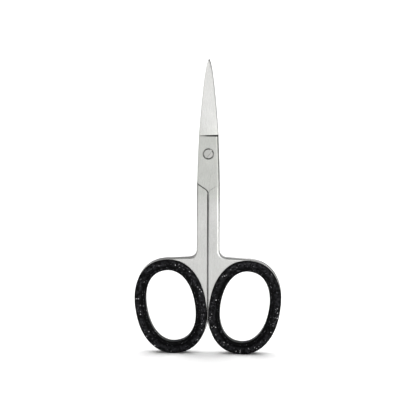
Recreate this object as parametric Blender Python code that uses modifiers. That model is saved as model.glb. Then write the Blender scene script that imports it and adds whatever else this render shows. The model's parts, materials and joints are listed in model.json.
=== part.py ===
"""Grooming scissors for nails and cuticles, closed and standing on their finger rings.

Two forged steel halves cross at a slotted pivot screw. Each half is one piece from the blade's tip to the
finger ring, and each ring holds a soft moulded grip that is flanged on both faces of the steel.

Lengths are in metres. A half is drawn in its own frame, with the pivot at the origin: X across the scissors,
Z along the blade and Y through the thickness, the front face towards -Y. The rear half is the same forging
turned half a turn about Z. In the scene the pivot stands over the origin and the grips touch Z = 0.
"""

from math import cos, pi, radians, sin

import bmesh
import bpy
from mathutils import Matrix, Vector

# Lengths along the scissors, from the pivot
BLADE_LENGTH = 0.02295
PIVOT_TO_STEP = 0.0053
PIVOT_TO_THROAT = 0.0122
PIVOT_TO_RING_CENTRE = 0.04665

# Widths across the pad and the shank, from the middle plane
PAD_OUTER = 0.00296
PAD_INNER = 0.0026
LAP_INNER = 0.0030
SHANK_OUTER = 0.00346

# Thickness of the forging, both halves together at the pivot
STOCK = 0.0036
PAD_RELIEF = 0.00006
RING_STOCK = 0.0026
EDGE_ROUND = 0.0009

# Gaps between the two halves, and between the two grips
LAP_GAP = 0.00015
SHANK_GAP = 0.0002
RING_GAP = 0.00015
GRIP_GAP = 0.0004

# Shoulder where the full thickness of the shank begins
SHOULDER_RADIUS = 0.0016
SHOULDER_ANGLE = radians(34)

# Ground blade
BLADE_CURVE_POWER = 0.565
SPINE_THICKNESS = 0.0014
EDGE_THICKNESS = 0.00042
EDGE_LAND = 0.00005
BEVEL_WIDTH = 0.00045
PLUNGE_LENGTH = 0.0005
PLUNGE_RISE = 0.00008
HOLLOW_DEPTH = 0.00012
HOLLOW_WIDTH = 0.0038
HOLLOW_LENGTH_SHARE = 0.9

# Steel finger ring: an upright oval that leans outwards, cut flat where it meets the other one
RING_HALF_WIDTH = 0.01098
RING_HALF_HEIGHT = 0.01437
RIM_SIDE = 0.0023
RIM_END = 0.00182
RING_LEAN = radians(9.7)
RING_SQUARENESS = 2.2
SHANK_FILLET = 0.0023
CROWN_FALL = radians(3.7)

# Soft grip, which sits a little lower and further out than the steel ring
GRIP_OUT = 0.00032
GRIP_DOWN = 0.00045
SLEEVE_WALL = 0.0012
GRIP_WIDTH = 0.00345
BEAD_WIDTH = 0.0022
BEAD_HEIGHT = 0.00075
FLANGE_EDGE = 0.0003
LIP_HEIGHT = 0.00045
LIP_ROUND = 0.0006
GRIP_FIT = 0.00015

# Pivot screw
HEAD_RADIUS = 0.00137
HEAD_HEIGHT = 0.0008
HEAD_SINK = 0.00004
HEAD_ROUND = 0.00015
HEAD_GAP = 0.0002
SLOT_WIDTH = 0.0007
SLOT_DEPTH = 0.0004
SLOT_LEAN = radians(-37)
BARREL_RADIUS = 0.0011
THREAD_RADIUS = 0.0009
TAIL_PROUD = 0.0001
RUNNING_FIT = 0.00006
SEAT_GAP = 0.0001

# Fineness of the curves
EDGE_POINTS = 16
RING_POINTS = 64
ARC_STEP = radians(14)
ROUND_SIDES = 48
SHARP_ANGLE = radians(32)

# How far cutters reach past what they cut, and how close points must lie to count as one
CUT_OVERRUN = 0.003
WELD = 0.000001

# What follows from the sizes above
INNER_EDGE = SHANK_GAP / 2
LAP_FACE = -LAP_GAP / 2
PAD_FACE = PAD_RELIEF - STOCK / 2
STEP_Z = PIVOT_TO_STEP
TIP_Z = PIVOT_TO_STEP + BLADE_LENGTH
THROAT_Z = -PIVOT_TO_THROAT
BORE_HALF_WIDTH = RING_HALF_WIDTH - RIM_SIDE - GRIP_FIT - SLEEVE_WALL
BORE_HALF_HEIGHT = RING_HALF_HEIGHT - RIM_END - GRIP_FIT - SLEEVE_WALL


def new_collection(name):
    """A collection linked to the scene."""
    collection = bpy.data.collections.new(name)
    bpy.context.scene.collection.children.link(collection)
    return collection


def material(name, colour, roughness, metallic):
    """A Principled material."""
    made = bpy.data.materials.new(name)
    made.use_nodes = True
    shader = made.node_tree.nodes["Principled BSDF"]
    shader.inputs["Base Color"].default_value = (*colour, 1)
    shader.inputs["Roughness"].default_value = roughness
    shader.inputs["Metallic"].default_value = metallic
    return made


def blend(start, end, share):
    """The value that lies at a share of the way from start to end."""
    return start + (end - start) * share


def arc(centre, radius, start, end):
    """Points (x, z) along an arc between two angles, both ends included."""
    steps = max(2, round(abs(end - start) / ARC_STEP))
    angles = [blend(start, end, i / steps) for i in range(steps + 1)]
    return [Vector((centre[0] + radius * cos(a), centre[1] + radius * sin(a))) for a in angles]


def oval(centre, half_width, half_height):
    """Points (x, z) round a leaning superellipse, clockwise from its right end."""
    power = 2 / RING_SQUARENESS
    along = Vector((cos(RING_LEAN), -sin(RING_LEAN)))
    up = Vector((sin(RING_LEAN), cos(RING_LEAN)))
    points = []
    for i in range(RING_POINTS):
        angle = -2 * pi * i / RING_POINTS
        across = half_width * abs(cos(angle)) ** power * (1 if cos(angle) > 0 else -1)
        height = half_height * abs(sin(angle)) ** power * (1 if sin(angle) > 0 else -1)
        points.append(centre + along * across + up * height)
    return points


# The rings lie as far out as keeps the two grips apart, and the grips stand on the floor
FLANGE = oval(Vector((0, 0)), BORE_HALF_WIDTH + GRIP_WIDTH, BORE_HALF_HEIGHT + GRIP_WIDTH)
FLANGE_REACH = max(point.x for point in FLANGE)
FLANGE_DROP = max(point.y for point in FLANGE)
RING_CENTRE = Vector((GRIP_GAP / 2 + FLANGE_REACH - GRIP_OUT, -PIVOT_TO_RING_CENTRE))
GRIP_CENTRE = RING_CENTRE + Vector((GRIP_OUT, -GRIP_DOWN))
PIVOT_HEIGHT = FLANGE_DROP - GRIP_CENTRE.y


def grip_oval(grow):
    """The oval that lies outside the finger hole by a distance."""
    return oval(GRIP_CENTRE, BORE_HALF_WIDTH + grow, BORE_HALF_HEIGHT + grow)


def blade_width_share(z):
    """How wide the blade is at a height, as a share of its width at the step."""
    return (max(TIP_Z - z, 0) / BLADE_LENGTH) ** BLADE_CURVE_POWER


def blade_heights():
    """Heights from the tip to the step, closer together near the tip."""
    shares = [(i / EDGE_POINTS) ** 2 for i in range(EDGE_POINTS + 1)]
    return [TIP_Z - BLADE_LENGTH * share for share in shares]


def inner_edge(z):
    """Where the shank's inner edge lies: the gap is narrower beside the rings."""
    share = min((THROAT_Z - z) / (THROAT_Z - RING_CENTRE.y), 1)
    return blend(SHANK_GAP, RING_GAP, share) / 2


def ring_outline():
    """The steel ring from its crown, down the outer side and up to where it meets the shank's inner edge."""
    points = oval(RING_CENTRE, RING_HALF_WIDTH, RING_HALF_HEIGHT)
    crown_direction = Vector((sin(CROWN_FALL), cos(CROWN_FALL)))
    crown = max(range(RING_POINTS), key=lambda i: points[i].dot(crown_direction))
    points = points[crown:] + points[:crown]
    kept = [points[0]]
    for point in points[1:]:
        inside = point.x - inner_edge(point.y)
        if inside < 0:
            before = kept[-1].x - inner_edge(kept[-1].y)
            kept.append(kept[-1].lerp(point, before / (before - inside)))
            break
        if kept[-1].x < point.x < RING_CENTRE.x:
            break
        kept.append(point)
    return kept


def shank_fillet(crown):
    """The hollow corner between the shank's outer edge and the line that runs out to the ring's crown."""
    rise = sin(CROWN_FALL) / cos(CROWN_FALL)
    centre_x = SHANK_OUTER + SHANK_FILLET
    centre_z = crown.y + (crown.x - centre_x) * rise + SHANK_FILLET / cos(CROWN_FALL)
    return arc((centre_x, centre_z), SHANK_FILLET, pi, 1.5 * pi - CROWN_FALL)


def pad_outer_side():
    """The outer edge of the pad, from the step down to the throat, swelling into the shank."""
    shares = [i / 6 for i in range(1, 7)]
    return [
        Vector((blend(PAD_OUTER, SHANK_OUTER, sin(share * pi / 2)), blend(STEP_Z, THROAT_Z, share)))
        for share in shares
    ]


def lap_foot():
    """The lower edge of the lap, from the shank's inner edge out to the far side of the pad."""
    turn = pi / 2 - SHOULDER_ANGLE
    bend = arc((-INNER_EDGE - SHOULDER_RADIUS, THROAT_Z), SHOULDER_RADIUS + SHANK_GAP, 0, turn)
    run = (bend[-1].x + LAP_INNER) / cos(SHOULDER_ANGLE)
    corner = bend[-1] + run * Vector((-cos(SHOULDER_ANGLE), sin(SHOULDER_ANGLE)))
    return bend + [corner]


def half_outline():
    """The outline of the blank for one half, clockwise from its top right corner. Its blade is still a bar."""
    top = TIP_Z + CUT_OVERRUN / 2
    cutting_side = [Vector((PAD_OUTER, top)), Vector((PAD_OUTER, STEP_Z))]
    spine_side = [Vector((-PAD_INNER, STEP_Z)), Vector((-PAD_INNER, top))]
    ring = ring_outline()
    return cutting_side + pad_outer_side() + shank_fillet(ring[0]) + ring + lap_foot() + spine_side


def beside_blade():
    """The region above the step on both sides of the blade's curved outline."""
    cutting_side = [Vector((PAD_OUTER * blade_width_share(z), z)) for z in blade_heights()]
    spine_side = [Vector((-PAD_INNER * blade_width_share(z), z)) for z in reversed(blade_heights()[1:])]
    side = SHANK_OUTER + CUT_OVERRUN
    top = TIP_Z + CUT_OVERRUN
    corners = [Vector((side, STEP_Z)), Vector((side, top)), Vector((-side, top)), Vector((-side, STEP_Z))]
    return cutting_side + corners + spine_side


def above_shoulder():
    """The region above the shoulder, where only one half of the thickness stays."""
    bend = arc((INNER_EDGE + SHOULDER_RADIUS, THROAT_Z), SHOULDER_RADIUS, radians(170), pi / 2 + SHOULDER_ANGLE)
    side = SHANK_OUTER + CUT_OVERRUN
    rise = sin(SHOULDER_ANGLE) / cos(SHOULDER_ANGLE)
    corner = Vector((side, bend[-1].y + (side - bend[-1].x) * rise))
    top = TIP_Z + CUT_OVERRUN
    low = THROAT_Z - INNER_EDGE
    return [Vector((-side, low)), Vector((0, low)), *bend, corner, Vector((side, top)), Vector((-side, top))]


def mesh_object(name, mesh, collection):
    """An object in one collection."""
    made = bpy.data.objects.new(name, mesh)
    collection.objects.link(made)
    return made


def plate(name, outline, front, back, collection):
    """A flat solid with an outline (x, z), between two depths."""
    curve = bpy.data.curves.new(name, "CURVE")
    curve.dimensions = "2D"
    curve.fill_mode = "BOTH"
    curve.extrude = (back - front) / 2
    spline = curve.splines.new("POLY")
    spline.points.add(len(outline) - 1)
    for point, place in zip(spline.points, outline):
        point.co = (place.x, place.y, 0, 1)
    spline.use_cyclic_u = True
    drawn = bpy.data.objects.new(name + "_outline", curve)
    collection.objects.link(drawn)
    mesh = bpy.data.meshes.new_from_object(drawn.evaluated_get(bpy.context.evaluated_depsgraph_get()))
    bpy.data.objects.remove(drawn)
    bpy.data.curves.remove(curve)
    mesh.transform(Matrix.Translation((0, (front + back) / 2, 0)) @ Matrix.Rotation(pi / 2, 4, "X"))
    bm = bmesh.new()
    bm.from_mesh(mesh)
    bmesh.ops.remove_doubles(bm, verts=bm.verts, dist=WELD)
    bmesh.ops.dissolve_limit(bm, angle_limit=radians(0.2), verts=bm.verts, edges=bm.edges)
    bmesh.ops.recalc_face_normals(bm, faces=bm.faces)
    bm.to_mesh(mesh)
    bm.free()
    return mesh_object(name, mesh, collection)


def loft(name, sections, collection, closed):
    """A solid through sections of as many points each, capped at both ends unless it closes on itself."""
    bm = bmesh.new()
    rings = [[bm.verts.new(point) for point in section] for section in sections]
    following = rings[1:] + rings[:1] if closed else rings[1:]
    for ring, other in zip(rings, following):
        for i in range(len(ring)):
            bm.faces.new((ring[i - 1], ring[i], other[i], other[i - 1]))
    if not closed:
        bm.faces.new(rings[0])
        bm.faces.new(rings[-1])
    bmesh.ops.recalc_face_normals(bm, faces=bm.faces)
    mesh = bpy.data.meshes.new(name)
    bm.to_mesh(mesh)
    bm.free()
    return mesh_object(name, mesh, collection)


def rod(name, radius, front, back, collection):
    """A round bar along Y between two depths."""
    bm = bmesh.new()
    lie_down = Matrix.Translation((0, (front + back) / 2, 0)) @ Matrix.Rotation(pi / 2, 4, "X")
    bmesh.ops.create_cone(
        bm,
        cap_ends=True,
        segments=ROUND_SIDES,
        radius1=radius,
        radius2=radius,
        depth=back - front,
        matrix=lie_down,
    )
    mesh = bpy.data.meshes.new(name)
    bm.to_mesh(mesh)
    bm.free()
    return mesh_object(name, mesh, collection)


def cut(target, cutter):
    """Takes a cutter away from a piece. The cutter follows the piece and stays out of a render."""
    cutter.parent = target
    cutter.hide_render = True
    cutter.display_type = "WIRE"
    modifier = target.modifiers.new(cutter.name, "BOOLEAN")
    modifier.operation = "DIFFERENCE"
    modifier.solver = "EXACT"
    modifier.object = cutter


def shade(piece):
    """Smooth shading between facets, sharp at edges and on faces square to Y."""
    mesh = piece.data
    mesh.shade_smooth()
    mesh.set_sharp_from_angle(angle=SHARP_ANGLE)
    for face in mesh.polygons:
        if abs(face.normal.y) > cos(radians(4)):
            face.use_smooth = False


def round_outer_edges(piece):
    """Rounds the blank's outer edges on both faces, from its top down and round the ring."""
    bm = bmesh.new()
    bm.from_mesh(piece.data)
    outer = []
    for edge in bm.edges:
        middle = (edge.verts[0].co + edge.verts[1].co) / 2
        if abs(middle.y) > STOCK / 2 - PAD_RELIEF and middle.x > SHANK_GAP and middle.z < TIP_Z:
            outer.append(edge)
    bmesh.ops.bevel(bm, geom=outer, offset=EDGE_ROUND, segments=3, profile=0.5, affect="EDGES")
    bm.to_mesh(piece.data)
    bm.free()


def thin_towards_ring(piece):
    """Tapers the thickness evenly from the throat to the ring's crown."""
    bm = bmesh.new()
    bm.from_mesh(piece.data)
    low = RING_CENTRE.y + RING_HALF_HEIGHT
    for height in (THROAT_Z, low):
        everything = bm.verts[:] + bm.edges[:] + bm.faces[:]
        bmesh.ops.bisect_plane(bm, geom=everything, dist=WELD, plane_co=(0, 0, height), plane_no=(0, 0, 1))
    for vert in bm.verts:
        share = min(max((THROAT_Z - vert.co.z) / (THROAT_Z - low), 0), 1)
        vert.co.y *= blend(1, RING_STOCK / STOCK, share)
    bm.to_mesh(piece.data)
    bm.free()


def blade_grind(name, collection):
    """What the grinding wheel takes off the blade's front: a flat face that falls to the edge, and its bevel."""
    fall = (SPINE_THICKNESS - EDGE_THICKNESS) / (PAD_INNER + PAD_OUTER - BEVEL_WIDTH)
    bevel = (EDGE_THICKNESS - EDGE_LAND) / BEVEL_WIDTH
    left = -PAD_INNER - CUT_OVERRUN
    front = -STOCK / 2 - CUT_OVERRUN
    plunge = [STEP_Z + PLUNGE_LENGTH * i / 4 for i in range(4)]
    heights = plunge + [z for z in reversed(blade_heights()) if z >= STEP_Z + PLUNGE_LENGTH]
    sections = []
    for z in heights + [TIP_Z + CUT_OVERRUN]:
        rise = PLUNGE_RISE * max(1 - (z - STEP_Z) / PLUNGE_LENGTH, 0) ** 2
        edge_x = PAD_OUTER * blade_width_share(z)
        break_x = edge_x - BEVEL_WIDTH
        right = edge_x + BEVEL_WIDTH
        break_y = LAP_FACE - EDGE_THICKNESS - rise
        left_y = break_y - fall * (break_x - left)
        right_y = break_y + bevel * (right - break_x)
        section = [(left, front), (left, left_y), (break_x, break_y), (right, right_y), (right, front)]
        sections.append([(x, y, z) for x, y in section])
    return loft(name, sections, collection, closed=False)


def blade_hollow(name, collection):
    """A very large drum that hollows the blade's inner face and runs out before the tip."""
    radius = (HOLLOW_WIDTH**2 / 4 + HOLLOW_DEPTH**2) / (2 * HOLLOW_DEPTH)
    length = BLADE_LENGTH * HOLLOW_LENGTH_SHARE
    lean = HOLLOW_DEPTH / length
    bm = bmesh.new()
    middle = Vector(((PAD_OUTER - PAD_INNER) / 2, LAP_FACE + radius - HOLLOW_DEPTH, STEP_Z + PLUNGE_LENGTH))
    place = Matrix.Translation(middle) @ Matrix.Rotation(-lean, 4, "X")
    place = place @ Matrix.Translation((0, 0, BLADE_LENGTH / 2))
    bmesh.ops.create_cone(
        bm,
        cap_ends=True,
        segments=3 * ROUND_SIDES,
        radius1=radius,
        radius2=radius,
        depth=BLADE_LENGTH,
        matrix=place,
    )
    mesh = bpy.data.meshes.new(name)
    bm.to_mesh(mesh)
    bm.free()
    return mesh_object(name, mesh, collection)


def forged_half(name, pieces, cutters):
    """One half with its lap, blade and ring, without the hole for the screw."""
    half = plate(name, half_outline(), -STOCK / 2, STOCK / 2, pieces)
    round_outer_edges(half)
    thin_towards_ring(half)
    shade(half)
    far = STOCK / 2 + CUT_OVERRUN
    cut(half, plate(name + "_blade_cutter", beside_blade(), -far, far, cutters))
    cut(half, plate(name + "_lap_cutter", above_shoulder(), LAP_FACE, far, cutters))
    cut(half, plate(name + "_pad_cutter", above_shoulder(), -far, PAD_FACE, cutters))
    cut(half, blade_grind(name + "_grind_cutter", cutters))
    cut(half, blade_hollow(name + "_hollow_cutter", cutters))
    cut(half, plate(name + "_ring_cutter", grip_oval(SLEEVE_WALL + GRIP_FIT), -far, far, cutters))
    return half


def grip_profile():
    """Half of the grip's section, as (distance out from the finger hole, depth): bore, lip, bead and seat."""
    steel = RING_STOCK / 2
    bead_foot = steel + FLANGE_EDGE
    bead_middle = GRIP_WIDTH - BEAD_WIDTH / 2
    groove = GRIP_WIDTH - BEAD_WIDTH
    lip_top = steel + LIP_HEIGHT
    bore = [(0, 0), (0, lip_top - LIP_ROUND)]
    lip = [
        (LIP_ROUND * (1 - cos(a)), lip_top - LIP_ROUND * (1 - sin(a))) for a in (radians(30), radians(60), pi / 2)
    ]
    bead = [
        (bead_middle - BEAD_WIDTH / 2 * cos(a), bead_foot + (BEAD_HEIGHT - FLANGE_EDGE) * sin(a))
        for a in (radians(20), radians(45), radians(70), radians(110), radians(135), radians(160))
    ]
    seat = [(GRIP_WIDTH, bead_foot), (GRIP_WIDTH, steel + GRIP_FIT), (SLEEVE_WALL, steel + GRIP_FIT)]
    return bore + lip + [(groove, bead_foot)] + bead + seat


def ring_grip(name, collection):
    """The soft insert: a sleeve through the steel ring with a beaded flange on each face."""
    half = grip_profile()
    mirrored = [(grow, -depth) for grow, depth in reversed(half[1:])]
    loops = []
    for grow, depth in half + mirrored:
        loops.append([(point.x, depth, point.y) for point in grip_oval(grow)])
    grip = loft(name, loops, collection, closed=True)
    shade(grip)
    return grip


def pivot_screw(name, pieces, cutters):
    """The slotted screw, turned about its axis. Its head is flush in the front half."""
    head_top = -PAD_FACE - HEAD_SINK
    head_foot = head_top - HEAD_HEIGHT
    tail = PAD_FACE - TAIL_PROUD
    profile = [
        (0, head_top),
        (HEAD_RADIUS - HEAD_ROUND, head_top),
        (HEAD_RADIUS, head_top - HEAD_ROUND),
        (HEAD_RADIUS, head_foot),
        (BARREL_RADIUS, head_foot),
        (BARREL_RADIUS, LAP_GAP / 2),
        (THREAD_RADIUS, LAP_GAP / 2),
        (THREAD_RADIUS, tail + TAIL_PROUD),
        (THREAD_RADIUS - TAIL_PROUD, tail),
        (0, tail),
    ]
    mesh = bpy.data.meshes.new(name)
    edges = [(i, i + 1) for i in range(len(profile) - 1)]
    mesh.from_pydata([(radius, 0, height) for radius, height in profile], edges, [])
    screw = mesh_object(name, mesh, pieces)
    turn = screw.modifiers.new("turned", "SCREW")
    turn.steps = ROUND_SIDES
    turn.render_steps = ROUND_SIDES
    turn.use_merge_vertices = True
    turn.merge_threshold = WELD
    turn.use_smooth_shade = False
    slot_mesh = bpy.data.meshes.new(name + "_slot")
    bm = bmesh.new()
    size = Matrix.Diagonal((SLOT_WIDTH, 2 * HEAD_RADIUS + CUT_OVERRUN, 2 * SLOT_DEPTH, 1))
    place = Matrix.Rotation(SLOT_LEAN, 4, "Z") @ Matrix.Translation((0, 0, head_top)) @ size
    bmesh.ops.create_cube(bm, size=1, matrix=place)
    bm.to_mesh(slot_mesh)
    bm.free()
    cut(screw, mesh_object(name + "_slot_cutter", slot_mesh, cutters))
    screw.rotation_euler.x = pi / 2
    return screw


def drill(half, radius, front, back, label, cutters):
    """A round hole on the pivot's axis."""
    cut(half, rod(f"{half.name}_{label}_cutter", radius, front, back, cutters))


def build():
    """Makes the five pieces, places them and gives them their materials."""
    for old in list(bpy.data.objects):
        bpy.data.objects.remove(old)
    pieces = new_collection("grooming_scissors")
    cutters = new_collection("cutters")
    steel = material("satin_steel", (0.58, 0.58, 0.56), 0.3, 1)
    bright = material("polished_steel", (0.66, 0.66, 0.65), 0.2, 1)
    soft = material("black_soft_grip", (0.006, 0.006, 0.007), 0.35, 0)

    far = STOCK / 2 + CUT_OVERRUN
    front_half = forged_half("front_half", pieces, cutters)
    drill(front_half, BARREL_RADIUS + RUNNING_FIT, -far, far, "pivot", cutters)
    head_seat = PAD_FACE + HEAD_SINK + HEAD_HEIGHT + SEAT_GAP
    drill(front_half, HEAD_RADIUS + HEAD_GAP, -far, head_seat, "head", cutters)
    rear_half = forged_half("rear_half", pieces, cutters)
    drill(rear_half, THREAD_RADIUS + RUNNING_FIT, -far, far, "thread", cutters)
    screw = pivot_screw("pivot_screw", pieces, cutters)
    front_grip = ring_grip("front_ring_grip", pieces)
    rear_grip = ring_grip("rear_ring_grip", pieces)

    joint = bpy.data.objects.new("pivot_axis", None)
    pieces.objects.link(joint)
    joint.location.z = PIVOT_HEIGHT
    front_half.parent = joint
    front_grip.parent = joint
    for piece in (rear_half, rear_grip, screw):
        piece.location.z = PIVOT_HEIGHT
    for piece in (rear_half, rear_grip):
        piece.rotation_euler.z = pi

    for piece in (front_half, rear_half):
        piece.data.materials.append(steel)
    for piece in (front_grip, rear_grip):
        piece.data.materials.append(soft)
    screw.data.materials.append(bright)


build()
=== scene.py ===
# %% [markdown]
# Grooming scissors for nails and cuticles: two satin steel halves on a slotted screw, with black glitter
# grips in the finger rings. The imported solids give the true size, the places and the joint. This lesson
# dresses them: each piece gets softer edges or a finer shape, and a finish like the real one.

# %% Load the solids
import json
from math import atan2, cos, hypot, pi, radians, sin

import bmesh
import bpy
from mathutils import Matrix, Vector


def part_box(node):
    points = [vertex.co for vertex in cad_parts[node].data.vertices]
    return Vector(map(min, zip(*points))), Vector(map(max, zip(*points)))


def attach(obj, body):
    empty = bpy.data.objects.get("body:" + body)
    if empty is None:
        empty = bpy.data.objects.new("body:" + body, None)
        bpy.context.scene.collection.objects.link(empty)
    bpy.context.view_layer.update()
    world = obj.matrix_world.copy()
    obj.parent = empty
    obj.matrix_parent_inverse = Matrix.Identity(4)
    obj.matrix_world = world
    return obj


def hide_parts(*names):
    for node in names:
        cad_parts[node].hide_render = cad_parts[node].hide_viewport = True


MM = 0.001

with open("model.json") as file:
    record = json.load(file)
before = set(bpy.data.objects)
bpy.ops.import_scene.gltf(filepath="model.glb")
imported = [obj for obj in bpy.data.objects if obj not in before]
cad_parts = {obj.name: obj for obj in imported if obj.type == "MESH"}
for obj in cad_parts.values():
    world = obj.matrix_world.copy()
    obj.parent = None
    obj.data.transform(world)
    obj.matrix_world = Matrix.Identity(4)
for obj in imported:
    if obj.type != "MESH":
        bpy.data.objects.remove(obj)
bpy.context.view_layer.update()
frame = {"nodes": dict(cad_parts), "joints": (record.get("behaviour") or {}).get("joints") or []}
print("solids:", sorted(frame["nodes"]))

# %% [markdown]
# Colours are written as the hex values a screen shows. Blender's shaders work in linear light, so one
# function turns the first into the second. A second one adds a node, sets it and joins it up. A third starts
# a material with the sockets of its Principled shader that are the same all over.

# %% Colour and node helpers


def linear(hex_code):
    """The linear colour of an sRGB hex value."""
    channels = [int(hex_code[i : i + 2], 16) / 255 for i in (1, 3, 5)]
    return (*[c / 12.92 if c <= 0.04045 else ((c + 0.055) / 1.055) ** 2.4 for c in channels], 1)


def socket_of(sockets, name):
    """A socket by its number or name, or by its identifier where several share a name."""
    if isinstance(name, int) or name in sockets:
        return sockets[name]
    return next(socket for socket in sockets if socket.identifier == name)


def add_node(tree, kind, links=None, values=None, **settings):
    """Adds a node with its properties, its input values and what is linked to its inputs."""
    node = tree.nodes.new(kind)
    for name, value in settings.items():
        setattr(node, name, value)
    for name, value in (values or {}).items():
        socket_of(node.inputs, name).default_value = value
    for name, socket in (links or {}).items():
        tree.links.new(socket, socket_of(node.inputs, name))
    return node


def new_finish(name, **sockets):
    """A material, its node tree and its Principled shader with the sockets that are the same all over."""
    made = bpy.data.materials.new(name)
    made.use_nodes = True
    shader = made.node_tree.nodes["Principled BSDF"]
    for socket, value in sockets.items():
        shader.inputs[socket.replace("_", " ")].default_value = value
    return made, made.node_tree, shader


print("a screen's middle grey is", round(linear("#808080")[0], 3), "in linear light")

# %% [markdown]
# The flat pad round the screw reaches from the throat, where the shanks part, up to the step at the foot of
# the blade. In the photograph it is a touch darker than the blades and shanks, and the finish paints that in
# as painted light: darker reflections on the pad. A finish can't know what a pad is, but it can read a
# point's height, so these heights come first.

# %% Heights on the scissors
PIVOT_HEIGHT = frame["joints"][0]["pos_m"][2]
STEP_HEIGHT = PIVOT_HEIGHT + 5.3 * MM
THROAT_HEIGHT = PIVOT_HEIGHT - 12.2 * MM
PAD_MIDDLE = (STEP_HEIGHT + THROAT_HEIGHT) / 2
PAD_HALF = (STEP_HEIGHT - THROAT_HEIGHT) / 2
TONE_FADE = 3 * MM


def off_the_pad(tree, place):
    """A value that is 0 on the pad and rises to a half above and below it."""
    height = add_node(tree, "ShaderNodeSeparateXYZ", {"Vector": place}).outputs["Z"]
    above_middle = add_node(tree, "ShaderNodeMath", {0: height}, {1: PAD_MIDDLE}, operation="SUBTRACT")
    from_middle = add_node(tree, "ShaderNodeMath", {0: above_middle.outputs[0]}, operation="ABSOLUTE")
    rise = add_node(
        tree,
        "ShaderNodeMapRange",
        {"Value": from_middle.outputs[0]},
        {"From Min": PAD_HALF, "From Max": PAD_HALF + TONE_FADE, "To Min": 0, "To Max": 0.5},
    )
    return rise.outputs["Result"]


print("pad from", round(THROAT_HEIGHT / MM, 1), "to", round(STEP_HEIGHT / MM, 1), "mm high")

# %% [markdown]
# The halves are forged stainless steel, about 13% chrome. Their flat faces are ground with a fine belt
# and then satined, which leaves hair lines along the scissors, a few hundredths of a millimetre apart. To
# the eye they blur the reflections to a soft, cool grey shine. A metal's colour is its reflection, so the
# base colour is the grey that the steel shows in white light. The lines are drawn as a noise stretched 40
# times along Z, 0.12 mm apart, because the real ones are too fine to show. They change the roughness and
# the bump, not the colour, as real scratches do. Faint clouds 5 mm wide, where the belt pressed harder,
# mix two close tones.

# %% Satin steel
LINE_SPACING = 0.12 * MM
LINE_STRETCH = 40
LINE_DEPTH = 0.01 * MM
# Most of the lines' noise lies between these two values.
LINE_RANGE = (0.3, 0.7)
CLOUD_SIZE = 5 * MM
# The clouds' noise lies mostly between 0.35 and 0.65. Halved, it spans the first two of these places on
# the colour ramp on the pad, and the last two away from it.
TONE_PLACES = (0.175, 0.325, 0.675, 0.825)


def satin_steel(name, tones, smooth, rough):
    """Steel with hair lines along Z, cloudy between two tones on the pad and two others away from it."""
    made, tree, shader = new_finish(name, Metallic=1)
    place = add_node(tree, "ShaderNodeTexCoord").outputs["Object"]
    stretched = add_node(
        tree, "ShaderNodeMapping", {"Vector": place}, {"Scale": (1, 1, 1 / LINE_STRETCH)}
    ).outputs["Vector"]
    lines = add_node(
        tree, "ShaderNodeTexNoise", {"Vector": stretched}, {"Scale": 1 / LINE_SPACING, "Detail": 3}
    ).outputs["Fac"]
    clouds = add_node(
        tree, "ShaderNodeTexNoise", {"Vector": place}, {"Scale": 1 / CLOUD_SIZE}
    ).outputs["Fac"]
    shade = add_node(
        tree, "ShaderNodeMath", {0: clouds, 2: off_the_pad(tree, place)}, {1: 0.5}, operation="MULTIPLY_ADD"
    )
    tone = add_node(tree, "ShaderNodeValToRGB", {"Fac": shade.outputs[0]})
    for position in TONE_PLACES[1:3]:
        tone.color_ramp.elements.new(position)
    for element, position, colour in zip(tone.color_ramp.elements, TONE_PLACES, tones):
        element.position = position
        element.color = linear(colour)
    roughness = add_node(
        tree,
        "ShaderNodeMapRange",
        {"Value": lines},
        {"From Min": LINE_RANGE[0], "From Max": LINE_RANGE[1], "To Min": smooth, "To Max": rough},
    )
    bump = add_node(tree, "ShaderNodeBump", {"Height": lines}, {"Strength": 0.1, "Distance": LINE_DEPTH})
    tree.links.new(tone.outputs["Color"], shader.inputs["Base Color"])
    tree.links.new(roughness.outputs["Result"], shader.inputs["Roughness"])
    tree.links.new(bump.outputs["Normal"], shader.inputs["Normal"])
    return made


# The last two tones, away from the pad, are lighter than the first two: painted light, for brighter
# reflections.
satin = satin_steel("satin_stainless_steel", ("#bebfbb", "#c5c6c2", "#c9c9c7", "#d0d0ce"), 0.2, 0.32)
polished = satin_steel("polished_steel_screw", ("#b6b6b3", "#bebebb", "#b6b6b3", "#bebebb"), 0.16, 0.26)
print("steel finishes:", satin.name, polished.name)

# %% [markdown]
# The belt can't reach into the slit, the lap, the step's corner and the gap round the screw, and these
# lie in shade. There the steel gets painted shade: nearly black in the narrow places and along the slit's
# edges, and a grey on the shanks' inner walls that is partly unpolished steel and partly painted shade. In
# the photograph these lines are dark because they lie in shade. The shade could be mixed over the metal,
# but it hides it, so it is a plain matt material. A shiny one would look bright wherever a wall is seen at a
# flat angle. The dark line fades out at the left end of the step, as the shade does there, so the step has
# its own painted shade, which turns to the grey of unshaded steel between two places along X.

# %% Painted shade in the recesses
BLOTCH_SIZE = 0.8 * MM
# The step's painted shade is gone left of the first place along X and full right of the second.
SHADE_GONE = -2 * MM
SHADE_FULL = -0.2 * MM
UNSHADED_GREY = "#b4b4b1"


def shade_fading_to_the_left(tree, place, colour):
    """The painted shade's colour where it is full, and the grey of unshaded steel where it fades out to the
    left.
    """
    across = add_node(tree, "ShaderNodeSeparateXYZ", {"Vector": place}).outputs["X"]
    shaded = add_node(
        tree,
        "ShaderNodeMapRange",
        {"Value": across},
        {"From Min": SHADE_GONE, "From Max": SHADE_FULL},
        interpolation_type="SMOOTHSTEP",
    ).outputs["Result"]
    mixed = add_node(
        tree,
        "ShaderNodeMix",
        {"Factor": shaded, "B_Color": colour},
        {"A_Color": linear(UNSHADED_GREY)},
        data_type="RGBA",
    )
    return socket_of(mixed.outputs, "Result_Color")


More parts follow.
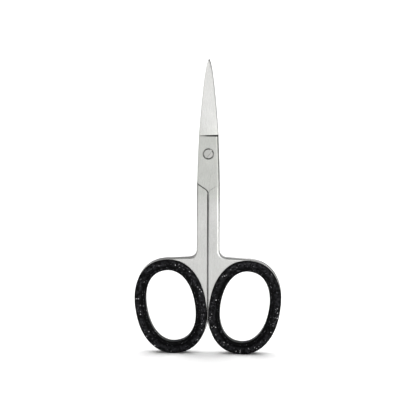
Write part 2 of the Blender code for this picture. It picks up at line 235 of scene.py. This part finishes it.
def matt_painted_shade(name, dark, light, fades_left=False):
    """Matt, blotchy painted shade over the steel."""
    made, tree, shader = new_finish(name, Roughness=0.9, Specular_IOR_Level=0.0)
    place = add_node(tree, "ShaderNodeTexCoord").outputs["Object"]
    blotches = add_node(
        tree, "ShaderNodeTexNoise", {"Vector": place}, {"Scale": 1 / BLOTCH_SIZE, "Detail": 4}
    ).outputs["Fac"]
    tone = add_node(tree, "ShaderNodeValToRGB", {"Fac": blotches})
    for element, colour in zip(tone.color_ramp.elements, (dark, light)):
        element.color = linear(colour)
    colour = tone.outputs["Color"]
    if fades_left:
        colour = shade_fading_to_the_left(tree, place, colour)
    tree.links.new(colour, shader.inputs["Base Color"])
    return made


# Painted shade: dark in narrow places, a grey on walls that is partly unpolished steel, and the step's own.
recess_shade = matt_painted_shade("painted_shade_in_recesses", "#161615", "#343432")
unpolished_grey_and_shade = matt_painted_shade("unpolished_grey_and_shade_by_recesses", "#7c7c78", "#9a9a96")
step_line_shade = matt_painted_shade("painted_shade_by_the_step", "#262624", "#464644", fades_left=True)
print("painted shades:", recess_shade.name, unpolished_grey_and_shade.name, step_line_shade.name)

# %% [markdown]
# The grips are soft PVC, coloured black right through, with silver glitter moulded in. Few flakes lie at the
# surface and face the light, so they show as scattered bright points over a duller fine speckle. An image
# could hold them, but a Voronoi pattern needs no file: it gives the cells, and its random numbers pick which
# cells hold a flake, how bright it is and how it is tilted. Real flakes are 0.1 to 0.2 mm wide; the big ones
# are drawn 0.34 mm wide, because smaller ones don't show.

# %% Flakes
BIG_FLAKES = {
    "cell": 0.62 * MM,
    "radius": 0.17 * MM,
    "share": 0.24,
    "dull": "#2a2a2e",
    "bright": "#f4f4f6",
}
FINE_FLAKES = {
    "cell": 0.33 * MM,
    "radius": 0.09 * MM,
    "share": 0.34,
    "dull": "#1c1c1e",
    "bright": "#86868c",
}


def flakes(tree, place, cell, radius, share, dull, bright):
    """One size of flake: where it lies (0 or 1), its colour, and a random vector for its tilt."""
    cells = add_node(tree, "ShaderNodeTexVoronoi", {"Vector": place}, {"Scale": 1 / cell}).outputs
    chance = add_node(tree, "ShaderNodeSeparateColor", {"Color": cells["Color"]}).outputs
    distance = cells["Distance"]
    near = add_node(tree, "ShaderNodeMath", {0: distance}, {1: radius / cell}, operation="LESS_THAN")
    chosen = add_node(tree, "ShaderNodeMath", {0: chance["Red"]}, {1: share}, operation="LESS_THAN")
    there = add_node(
        tree, "ShaderNodeMath", {0: near.outputs[0], 1: chosen.outputs[0]}, operation="MULTIPLY"
    ).outputs[0]
    # The third power leaves most flakes dull and a few bright: the bright ones are a painted glint.
    shine = add_node(tree, "ShaderNodeMath", {0: chance["Green"]}, {1: 3}, operation="POWER").outputs[0]
    colour = add_node(
        tree,
        "ShaderNodeMix",
        {"Factor": shine},
        {"A_Color": linear(dull), "B_Color": linear(bright)},
        data_type="RGBA",
    )
    return there, socket_of(colour.outputs, "Result_Color"), cells["Color"]


for sort in (BIG_FLAKES, FINE_FLAKES):
    print("flakes, mm wide:", round(2 * sort["radius"] / MM, 2), "share of cells:", sort["share"])

# %% [markdown]
# In the photograph the crest of each grip's bead is a mottled grey, the bright floor's reflection, and the
# groove beside it stays black. Here the grey is a painted highlight: both lie at known depths along Y, so
# the depth and a noise mix the two tones. The moulded surface has a fine grain, which breaks up its weak
# shine, and each flake turns its own way.

# %% Glitter grip
GROOVE_DEPTH = 1.7 * MM
CREST_DEPTH = 2.0 * MM
PATCH_SIZE = 0.9 * MM
# The patches' noise is black below the first value and fully highlighted above the second.
PATCH_RANGE = (0.42, 0.62)
GRAIN_SIZE = 0.25 * MM
GRAIN_DEPTH = 0.02 * MM


def black_with_crest_highlight(tree, place):
    """Black plastic, with a patchy dark grey painted highlight on the bead's crest."""
    side = add_node(tree, "ShaderNodeSeparateXYZ", {"Vector": place}).outputs["Y"]
    depth = add_node(tree, "ShaderNodeMath", {0: side}, operation="ABSOLUTE").outputs[0]
    crest = add_node(
        tree, "ShaderNodeMapRange", {"Value": depth}, {"From Min": GROOVE_DEPTH, "From Max": CREST_DEPTH}
    ).outputs["Result"]
    noise = add_node(tree, "ShaderNodeTexNoise", {"Vector": place}, {"Scale": 1 / PATCH_SIZE, "Detail": 5})
    patches = add_node(
        tree,
        "ShaderNodeMapRange",
        {"Value": noise.outputs["Fac"]},
        {"From Min": PATCH_RANGE[0], "From Max": PATCH_RANGE[1]},
    ).outputs["Result"]
    crest_highlight = add_node(tree, "ShaderNodeMath", {0: crest, 1: patches}, operation="MULTIPLY").outputs[0]
    black = add_node(
        tree,
        "ShaderNodeMix",
        {"Factor": crest_highlight},
        {"A_Color": linear("#040405"), "B_Color": linear("#2d2d30")},
        data_type="RGBA",
    )
    return socket_of(black.outputs, "Result_Color")


def tilted_normal(tree, place, there, random):
    """The grainy surface's normal, turned at random where a flake lies."""
    grain = add_node(tree, "ShaderNodeTexNoise", {"Vector": place}, {"Scale": 1 / GRAIN_SIZE, "Detail": 4})
    bump = add_node(
        tree, "ShaderNodeBump", {"Height": grain.outputs["Fac"]}, {"Strength": 0.6, "Distance": GRAIN_DEPTH}
    ).outputs["Normal"]
    centred = add_node(tree, "ShaderNodeVectorMath", {0: random}, {1: (0.5, 0.5, 0.5)}, operation="SUBTRACT")
    tilt = add_node(tree, "ShaderNodeVectorMath", {0: centred.outputs[0], "Scale": there}, operation="SCALE")
    tilted = add_node(tree, "ShaderNodeVectorMath", {0: bump, 1: tilt.outputs[0]}, operation="ADD")
    return add_node(tree, "ShaderNodeVectorMath", {0: tilted.outputs[0]}, operation="NORMALIZE").outputs[0]


def glitter_grip():
    """Black soft plastic with sparse silver flakes, each tilted its own way."""
    made, tree, shader = new_finish("black_glitter_soft_pvc", IOR=1.52, Specular_IOR_Level=0.05)
    place = add_node(tree, "ShaderNodeTexCoord").outputs["Object"]
    fine, fine_shine, _ = flakes(tree, place, **FINE_FLAKES)
    big, big_shine, random = flakes(tree, place, **BIG_FLAKES)
    colour = black_with_crest_highlight(tree, place)
    for there, shine in ((fine, fine_shine), (big, big_shine)):
        layer = add_node(
            tree, "ShaderNodeMix", {"Factor": there, "A_Color": colour, "B_Color": shine}, data_type="RGBA"
        )
        colour = socket_of(layer.outputs, "Result_Color")
    metal = add_node(tree, "ShaderNodeMath", {0: fine, 1: big}, operation="MAXIMUM").outputs[0]
    roughness = add_node(tree, "ShaderNodeMapRange", {"Value": metal}, {"To Min": 0.36, "To Max": 0.22})
    tree.links.new(colour, shader.inputs["Base Color"])
    tree.links.new(metal, shader.inputs["Metallic"])
    tree.links.new(roughness.outputs["Result"], shader.inputs["Roughness"])
    tree.links.new(tilted_normal(tree, place, big, random), shader.inputs["Normal"])
    return made


glitter = glitter_grip()
print("grip finish:", glitter.name, "with", len(glitter.node_tree.nodes), "nodes")

# %% [markdown]
# Every piece ends in the same way. Its bmesh becomes a mesh that shades smooth up to a given angle, and the
# Weighted Normal modifier lets the large flat faces set the shading, so that narrow bevels don't smudge it.
# Then the piece is hung on the body it rides on, and the solid it stands for is hidden.

# %% Finish a piece


def put_in_scene(name, content):
    """An object with this content, linked to the scene at the origin."""
    made = bpy.data.objects.new(name, content)
    bpy.context.scene.collection.objects.link(made)
    return made


def ended_mesh(name, bm):
    """Turns a bmesh into a mesh and frees it."""
    mesh = bpy.data.meshes.new(name)
    bm.to_mesh(mesh)
    bm.free()
    return mesh


def smooth_mesh(name, bm, angle):
    """Ends a bmesh as a mesh that shades smooth between edges sharper than an angle."""
    mesh = ended_mesh(name, bm)
    mesh.shade_smooth()
    mesh.set_sharp_from_angle(angle=angle)
    return mesh


def finished_piece(mesh, body, node, slot, *finishes):
    """Turns a mesh into a piece that rides a body, stands for a solid and has its finishes."""
    piece = put_in_scene(mesh.name, mesh)
    for finish in finishes:
        mesh.materials.append(finish)
    shading = piece.modifiers.new("flat_faces_stay_flat", "WEIGHTED_NORMAL")
    shading.keep_sharp = True
    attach(piece, body)
    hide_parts(node)
    print(mesh.name, "has", len(mesh.polygons), "faces")


# %% [markdown]
# Each half is one forging, ground and then tumbled, so its edges aren't knife sharp except at the cutting
# edge. It could be modelled again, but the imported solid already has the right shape, as loose triangles.
# So a copy is merged, its flat areas are joined into whole faces, and its sharp edges are bevelled a few
# hundredths of a millimetre. The cutting edge is bevelled with the rest, because so little doesn't show.
# The slit's long edges get a wider bevel, because the forging rounds them.

# %% Copy and bevel a solid
EDGE_BREAK = 0.05 * MM
SLIT_BREAK = 0.18 * MM
SHARP = radians(32)
SAME_PLACE = 0.001 * MM
SAME_PLANE = radians(0.5)
SLIT_EDGE_OFFSET = 0.15 * MM
SLIT_EDGE_DEPTH = 1.2 * MM
SLIT_EDGE_LENGTH = 5 * MM


def merged_copy(node):
    """A bmesh of a solid with its loose triangles merged into whole flat faces."""
    bm = bmesh.new()
    bm.from_mesh(frame["nodes"][node].data)
    bmesh.ops.remove_doubles(bm, verts=bm.verts, dist=SAME_PLACE)
    bmesh.ops.dissolve_limit(bm, angle_limit=SAME_PLANE, verts=bm.verts, edges=bm.edges)
    return bm


def break_edges(bm, edges, width, segments):
    """Rounds some edges by a width."""
    bmesh.ops.bevel(
        bm,
        geom=edges,
        offset=width,
        affect="EDGES",
        segments=segments,
        profile=0.5,
        material=-1,
        clamp_overlap=False,
    )


def sharp_edges(bm):
    """The edges where two faces meet at more than a shallow angle."""
    return [edge for edge in bm.edges if edge.calc_face_angle(0) > SHARP]


def slit_edges(bm):
    """The long edges of the slit between the shanks, on the front and back faces."""
    chosen = []
    for edge in sharp_edges(bm):
        middle = (edge.verts[0].co + edge.verts[1].co) / 2
        in_the_slit = abs(middle.x) < SLIT_EDGE_OFFSET and abs(middle.y) > SLIT_EDGE_DEPTH
        if in_the_slit and edge.calc_length() > SLIT_EDGE_LENGTH:
            chosen.append(edge)
    return chosen


print("edges broken, mm:", round(EDGE_BREAK / MM, 2), "and along the slit", round(SLIT_BREAK / MM, 2))

# %% [markdown]
# In the photograph the ring round the screw is a tenth of a millimetre wider than in the solids. The rim of
# the head and the rim of its seat lie between two distances from the screw's axis, so the points there are
# moved outwards by one factor, and the barrel and its hole inside stay as they are.

# %% The screw's rim
HEAD_GROWTH = 1.08
INSIDE_RIM = 1.18 * MM
OUTSIDE_RIM = 1.65 * MM


def from_pivot(place):
    """A place's distance from the screw's axis."""
    return hypot(place.x, place.z - PIVOT_HEIGHT)


def widen_head(bm):
    """Draws the rim of the screw's head, or of its seat, a little wider about the pivot."""
    for vert in bm.verts:
        if INSIDE_RIM < from_pivot(vert.co) < OUTSIDE_RIM:
            vert.co.x *= HEAD_GROWTH
            vert.co.z = PIVOT_HEIGHT + (vert.co.z - PIVOT_HEIGHT) * HEAD_GROWTH


print("rim drawn out by", round(100 * (HEAD_GROWTH - 1)), "%")

# %% [markdown]
# The painted shade could be a thin skin of its own, but a face can simply take another material. So each
# face gets its finish, satin steel or painted shade, by its place and by the way it faces. The part of its
# normal along an axis tells that: it is 1 where the face looks straight along the axis, and 0 where it looks
# square to it.

# %% Places of the painted shade
SLIT_REACH = 0.3 * MM
STEP_REACH = 0.3 * MM
SEAT_REACH = 1.8 * MM
LAP_BELOW_THROAT = 0.5 * MM
LAP_ABOVE_THROAT = 3.3 * MM
LAP_HALF_WIDTH = 3.1 * MM
# Limits for a normal's part along X (across), along Y (through the thickness) and along Z (up).
LEANS_ACROSS = 0.2
LOOKS_ACROSS = 0.99
LOOKS_THROUGH = 0.95
STEEP_WALL = 0.6
UPRIGHT_WALL = 0.3
LEANS_UP = 0.17
SATIN, DARK_SHADE, GREY_SHADE, STEP = range(4)


def finish_number(place, normal):
    """Which of a half's finishes a face gets."""
    across = abs(normal.x)
    through = abs(normal.y)
    # Faces in the slit, by the lap, along the step and round the screw's seat get painted shade.
    if abs(place.x) < SLIT_REACH and place.z < THROAT_HEIGHT and across > LEANS_ACROSS:
        return GREY_SHADE if across > LOOKS_ACROSS else DARK_SHADE
    at_lap = THROAT_HEIGHT - LAP_BELOW_THROAT < place.z < THROAT_HEIGHT + LAP_ABOVE_THROAT
    if at_lap and abs(place.x) < LAP_HALF_WIDTH and through < LOOKS_THROUGH:
        return DARK_SHADE if through < STEEP_WALL else GREY_SHADE
    if abs(place.z - STEP_HEIGHT) < STEP_REACH and normal.z > LEANS_UP:
        return STEP
    if from_pivot(place) < SEAT_REACH and through < UPRIGHT_WALL:
        return DARK_SHADE
    return SATIN


print("painted shade round the screw out to", round(SEAT_REACH / MM, 1), "mm from its axis")

# %% [markdown]
# Both halves come from the same forging, so one function dresses them. It rounds the edges first, because
# each bevel adds faces, and these need a finish too.

# %% Steel halves


def steel_half(name, body, node):
    """One half with broken edges, and with painted shade in its recesses."""
    bm = merged_copy(node)
    widen_head(bm)
    break_edges(bm, slit_edges(bm), SLIT_BREAK, 3)
    break_edges(bm, sharp_edges(bm), EDGE_BREAK, 2)
    bm.normal_update()
    for face in bm.faces:
        face.material_index = finish_number(face.calc_center_median(), face.normal)
    print(name, "has painted shade on", sum(face.material_index > 0 for face in bm.faces), "faces")
    mesh = smooth_mesh(name, bm, SHARP)
    finished_piece(mesh, body, node, "satin_steel", satin, recess_shade, unpolished_grey_and_shade, step_line_shade)


steel_half("front_half_satin", "front", "front_half")
steel_half("rear_half_satin", "rear", "rear_half")

# %% [markdown]
# The screw is turned from steel bar, slotted and polished, so its reflections are a little crisper than
# the satin's. It sits flush in its seat with a fine gap all round, so its outline is a thin ring in shade.
# It could be made anew with a spin, but the imported solid has the head, the slot and the barrel already.
# The upright walls of all three get painted shade, which draws that dark ring.

# %% Pivot screw
screw = merged_copy("pivot_screw")
widen_head(screw)
break_edges(screw, sharp_edges(screw), EDGE_BREAK / 2, 2)
screw.normal_update()
# The screw has two finishes: 0 is the polished steel and 1 is the painted shade.
for face in screw.faces:
    face.material_index = 1 if abs(face.normal.y) < UPRIGHT_WALL else 0
screw_mesh = smooth_mesh("pivot_screw_turned", screw, SHARP)
finished_piece(screw_mesh, "rear", "pivot_screw", "polished_steel", polished, recess_shade)

# %% [markdown]
# Each grip is one moulding: a sleeve through the steel ring with a flange on both faces. A round bead runs
# along the flange's outer side, then a groove, then a rounded lip at the finger hole. Only one half of the
# section is drawn, because the other is its mirror image.

# %% Section of a grip
STEEL_HALF = 1.3 * MM
SEAT_FIT = 0.15 * MM
SLEEVE = 1.2 * MM
FLANGE = 3.43 * MM
FOOT_HEIGHT = 0.3 * MM
BEAD = 2.2 * MM
LIP_HEIGHT = 0.45 * MM
LIP_ROUND = 0.6 * MM
# The degrees from one point to the next along the round of the lip and of the bead.
LIP_STEP = 15
BEAD_STEP = 12
grip_low, grip_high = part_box("front_ring_grip")
GRIP_CENTRE = (grip_low + grip_high) / 2
GRIP_TOP = grip_high.y


def grip_section():
    """Half of the section, as (distance out from the finger hole, depth), from the bore to the sleeve."""
    lip_top = STEEL_HALF + LIP_HEIGHT
    foot = STEEL_HALF + FOOT_HEIGHT
    seat = STEEL_HALF + SEAT_FIT
    points = [(0, 0), (0, (lip_top - LIP_ROUND) / 2)]
    for angle in range(0, 91, LIP_STEP):
        turn = radians(angle)
        points.append((LIP_ROUND * (1 - cos(turn)), lip_top - LIP_ROUND * (1 - sin(turn))))
    for angle in range(0, 181, BEAD_STEP):
        turn = radians(angle)
        points.append((FLANGE - BEAD + BEAD / 2 * (1 - cos(turn)), foot + (GRIP_TOP - foot) * sin(turn)))
    return points + [(FLANGE, (foot + seat) / 2), (FLANGE, seat), (SLEEVE, seat)]


print("half a section has", len(grip_section()), "points and is", round(GRIP_TOP / MM, 2), "mm deep")

# %% [markdown]
# The finger hole is an oval that leans outwards and is slightly squarer than an ellipse. The section could
# be swept along it, but a spin round a circle closes the ring without a seam. Then each circle of points is
# drawn out to the oval, and the bead keeps about the same width all round.

# %% Soft grips
HOLE_HALF_WIDTH = 7.33 * MM
HOLE_HALF_HEIGHT = 11.2 * MM
LEAN = radians(9.7)
SQUARENESS = 2.2
SPIN_RADIUS = 10 * MM
SPIN_STEPS = 192
GRIP_SHARP = radians(50)


def oval_point(angle, grow):
    """The place at an angle round the leaning oval that lies outside the finger hole by a distance."""
    power = 2 / SQUARENESS
    across = (HOLE_HALF_WIDTH + grow) * abs(cos(angle)) ** power * (1 if cos(angle) > 0 else -1)
    height = (HOLE_HALF_HEIGHT + grow) * abs(sin(angle)) ** power * (1 if sin(angle) > 0 else -1)
    return Vector((across * cos(LEAN) + height * sin(LEAN), 0, height * cos(LEAN) - across * sin(LEAN)))


def soft_grip(name, body, node, half_turn):
    """One grip, spun and drawn out to the oval, turned half round for the rear half."""
    section = grip_section()
    section += [(grow, -depth) for grow, depth in reversed(section[1:])]
    bm = bmesh.new()
    corners = [bm.verts.new((SPIN_RADIUS + grow, depth, 0)) for grow, depth in section]
    edges = [bm.edges.new((corners[i - 1], corners[i])) for i in range(len(corners))]
    bmesh.ops.spin(
        bm,
        geom=corners + edges,
        cent=(0, 0, 0),
        axis=(0, 1, 0),
        angle=2 * pi,
        steps=SPIN_STEPS,
        use_merge=True,
    )
    for vert in bm.verts:
        grow = hypot(vert.co.x, vert.co.z) - SPIN_RADIUS
        vert.co = oval_point(atan2(vert.co.z, vert.co.x), grow) + GRIP_CENTRE + Vector((0, vert.co.y, 0))
    if half_turn:
        bmesh.ops.rotate(bm, cent=(0, 0, 0), matrix=Matrix.Rotation(pi, 3, "Z"), verts=bm.verts)
    bmesh.ops.recalc_face_normals(bm, faces=bm.faces)
    finished_piece(smooth_mesh(name, bm, GRIP_SHARP), body, node, "black_soft_grip", glitter)


soft_grip("front_ring_grip_moulded", "front", "front_ring_grip", False)
soft_grip("rear_ring_grip_moulded", "rear", "rear_ring_grip", True)

# %% [markdown]
# The camera stands in front, a little above the object and a little to its right, as for the photograph. It
# is far away with a long lens, because the photograph shows almost no perspective.

# %% Camera
DISTANCE = 0.6
FIELD_WIDTH = 0.125
ELEVATION = radians(11.5)
AZIMUTH = radians(3)
ROLL = radians(0.3)
AIM = Vector((-0.00012, 0, 0.0449))
SENSOR_WIDTH = 36

camera_data = bpy.data.cameras.new("camera")
camera_data.lens = SENSOR_WIDTH * DISTANCE / FIELD_WIDTH
camera_data.clip_start = 10 * MM
camera = put_in_scene("camera", camera_data)
back = Vector((sin(AZIMUTH) * cos(ELEVATION), -cos(AZIMUTH) * cos(ELEVATION), sin(ELEVATION)))
camera.location = AIM + back * DISTANCE
turned = (-back).to_track_quat("-Z", "Y").to_matrix() @ Matrix.Rotation(ROLL, 3, "Z")
camera.rotation_euler = turned.to_euler()
bpy.context.scene.camera = camera
bpy.context.scene.view_settings.view_transform = "Standard"
print("lens:", round(camera_data.lens), "mm")

# %% [markdown]
# The floor is a sheet of white paper, matt and very faintly grained. The camera sees it as plain white,
# except in the soft shadow under the rings. Reflections see it a little greyer, so that the steel keeps its
# own tone. The grain is drawn 0.5 mm wide, because real paper's is too fine to show.

# %% Floor
FLOOR_HALF_SIZE = 3
PAPER_GRAIN = 0.5 * MM


def white_sheet():
    """White paper with a fine matt grain, whitest for the camera."""
    made, tree, shader = new_finish("white_paper", Roughness=0.9, Specular_IOR_Level=0.0)
    place = add_node(tree, "ShaderNodeTexCoord").outputs["Object"]
    grain = add_node(tree, "ShaderNodeTexNoise", {"Vector": place}, {"Scale": 1 / PAPER_GRAIN, "Detail": 3})
    tone = add_node(tree, "ShaderNodeValToRGB", {"Fac": grain.outputs["Fac"]})
    for element, colour in zip(tone.color_ramp.elements, ("#e0e0e0", "#e4e4e4")):
        element.color = linear(colour)
    seen = add_node(tree, "ShaderNodeLightPath").outputs["Is Camera Ray"]
    paper = add_node(
        tree,
        "ShaderNodeMix",
        {"Factor": seen, "A_Color": tone.outputs["Color"]},
        {"B_Color": linear("#fefefe")},
        data_type="RGBA",
    )
    tree.links.new(socket_of(paper.outputs, "Result_Color"), shader.inputs["Base Color"])
    return made


sheet = bmesh.new()
bmesh.ops.create_grid(sheet, x_segments=1, y_segments=1, size=FLOOR_HALF_SIZE)
floor_mesh = ended_mesh("floor", sheet)
floor_mesh.materials.append(white_sheet())
put_in_scene("floor", floor_mesh)
print("floor finish:", floor_mesh.materials[0].name)

# %% [markdown]
# A light tent stands round the object: even white for the camera, and a soft light from all sides.
# Reflections see it with a darker top and back, which draw the grey line over the finger rings and down the
# steel's sides. It could be built of lit sheets, but the world does it with no geometry: Light Path tells a
# reflected ray from the camera's, and the ray's direction gives the level.

# %% Light tent
SOFT_LEVEL = 0.37
WALL_LEVEL = 1.1
BACK_LEVEL = 0.36
TOP_LEVEL = 0.35
BACK_FADE = (-0.8, -0.05)
TOP_FADE = (0.08, 0.4)

world = bpy.data.worlds.new("light_tent")
world.use_nodes = True
bpy.context.scene.world = world
tent = world.node_tree
direction = add_node(tent, "ShaderNodeTexCoord").outputs["Generated"]
parts = add_node(tent, "ShaderNodeSeparateXYZ", {"Vector": direction}).outputs
fades = [
    add_node(
        tent,
        "ShaderNodeMapRange",
        {"Value": part},
        {"From Min": near, "From Max": far, "To Min": WALL_LEVEL, "To Max": level},
        interpolation_type="SMOOTHSTEP",
    ).outputs["Result"]
    for part, (near, far), level in ((parts["Y"], BACK_FADE, BACK_LEVEL), (parts["Z"], TOP_FADE, TOP_LEVEL))
]
reflected = add_node(tent, "ShaderNodeMath", {0: fades[0], 1: fades[1]}, operation="MINIMUM").outputs[0]
path = add_node(tent, "ShaderNodeLightPath").outputs
lit = add_node(
    tent, "ShaderNodeMix", {"Factor": path["Is Glossy Ray"], "B_Float": reflected}, {"A_Float": SOFT_LEVEL}
)
shown = add_node(
    tent,
    "ShaderNodeMix",
    {"Factor": path["Is Camera Ray"], "A_Float": socket_of(lit.outputs, "Result_Float")},
    {"B_Float": 1.0},
)
backdrop = tent.nodes["Background"]
backdrop.inputs["Color"].default_value = linear("#ffffff")
tent.links.new(socket_of(shown.outputs, "Result_Float"), backdrop.inputs["Strength"])
print("tent: soft light", SOFT_LEVEL, "and reflections", TOP_LEVEL, "to", WALL_LEVEL)

# %% [markdown]
# A broad lamp above and a little behind throws the short soft shadow in front of the rings. An area lamp
# could do it, but a sun lamp with a very wide disc is as bright at any distance.

# %% Lamp
LAMP_LEVEL = 3.3
LAMP_HEIGHT = radians(72)
LAMP_WIDTH = radians(80)

lamp_data = bpy.data.lights.new("broad_lamp", "SUN")
lamp_data.energy = LAMP_LEVEL
lamp_data.angle = LAMP_WIDTH
lamp = put_in_scene("broad_lamp", lamp_data)
lamp.rotation_euler = (LAMP_HEIGHT - pi / 2, 0, 0)
lamp.visible_glossy = False
print("lamp level:", LAMP_LEVEL)

# %% [markdown]
# Photographers put white and dark cards beside shiny steel, because steel shows what stands round it.
# Here a bright card lights the right edges up to the pad, another lights the blade, dark cards on both
# sides draw the outlines, and a pale one behind softens the right side. Only reflections see them.

# %% Cards


def card(name, turn, away, width, low, high, level):
    """An upright card beside the object, between two heights, that only reflections see."""
    bm = bmesh.new()
    bmesh.ops.create_grid(bm, x_segments=1, y_segments=1, size=0.5)
    place = Matrix.Rotation(turn, 4, "Z") @ Matrix.Translation((0, -away, (low + high) / 2))
    place = place @ Matrix.Rotation(pi / 2, 4, "X") @ Matrix.Diagonal((width, high - low, 1, 1))
    bmesh.ops.transform(bm, matrix=place, verts=bm.verts)
    finish, _, shader = new_finish(name, Emission_Strength=level)
    shader.inputs["Base Color"].default_value = linear("#000000")
    shader.inputs["Emission Color"].default_value = linear("#ffffff")
    mesh = ended_mesh(name, bm)
    mesh.materials.append(finish)
    board = put_in_scene(name, mesh)
    board.visible_camera = False
    board.visible_diffuse = False
    board.visible_shadow = False
    print(name, "at level", level)


card("bright_card_for_the_edges", radians(38), away=0.1, width=0.052, low=0, high=0.058, level=2.4)
card("bright_card_for_the_blade", radians(10), away=0.16, width=0.14, low=0.06, high=0.2, level=1.3)
card("dark_card_right", radians(105), away=0.16, width=0.3, low=0, high=0.24, level=0.32)
card("dark_card_left", radians(-105), away=0.16, width=0.3, low=0, high=0.24, level=0.38)
card("pale_card_behind_right", radians(166), away=0.2, width=0.09, low=0.03, high=0.12, level=0.8)
